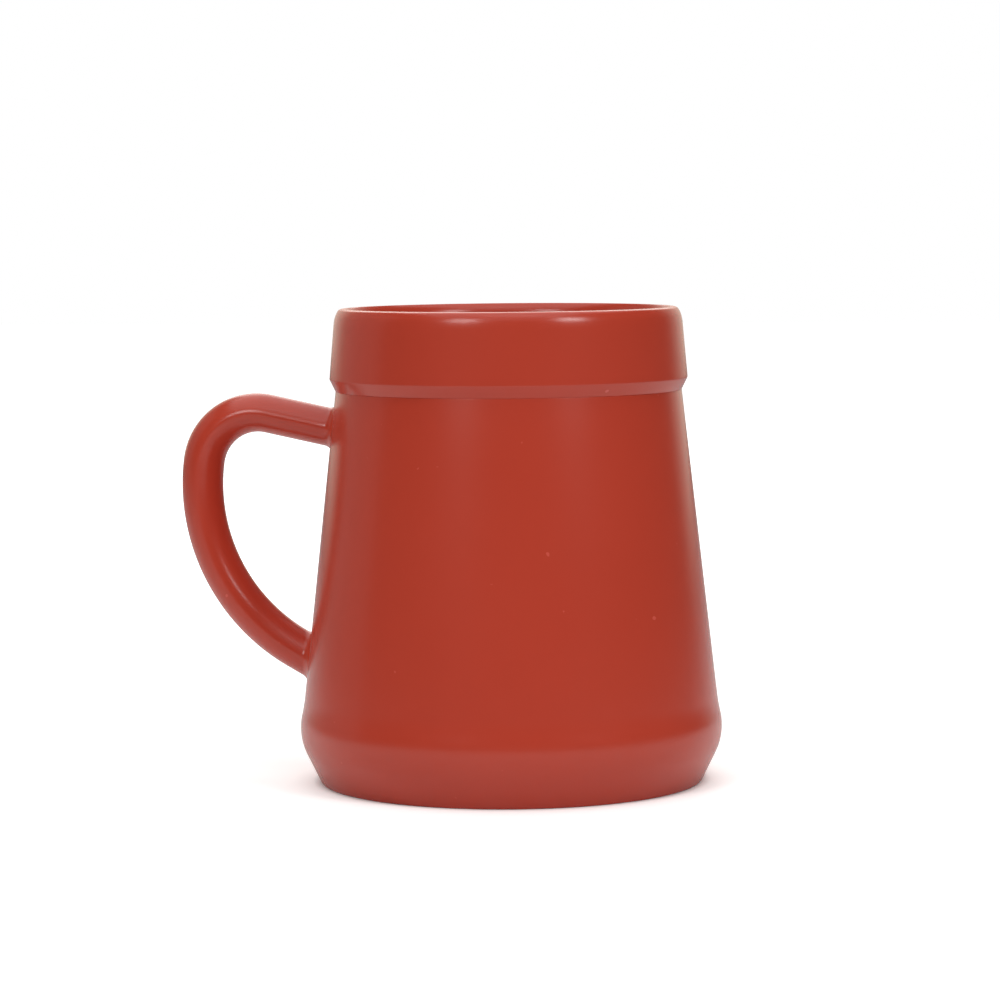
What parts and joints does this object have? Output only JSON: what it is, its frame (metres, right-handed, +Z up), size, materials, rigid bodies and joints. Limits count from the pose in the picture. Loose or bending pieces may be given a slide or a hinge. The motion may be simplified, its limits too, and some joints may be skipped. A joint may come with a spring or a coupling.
{
  "type": "mate cup",
  "caption": "Double-walled moulded mate cup, wider at the foot than at the mouth, with a bevelled collar round the rim and a bent round-rod handle for two fingers.",
  "frame": {"origin": "on the table at the middle of the foot ring", "axes": "+Z up along the cup's axis, -X towards the handle, +Y away from the camera of the picture"},
  "size_m": [0.1162, 0.0896, 0.1004],
  "materials": {
    "satin_red": "satin moulded plastic, terracotta red",
    "inner_red": "satin moulded plastic, terracotta red",
    "base_red": "fine matt moulded plastic, terracotta red"
  },
  "bodies": {
    "root": {"outer_shell": "satin_red", "rim_collar": "satin_red", "inner_cup": "inner_red", "base_disc": "base_red", "handle": "satin_red"}
  },
  "joints": []
}
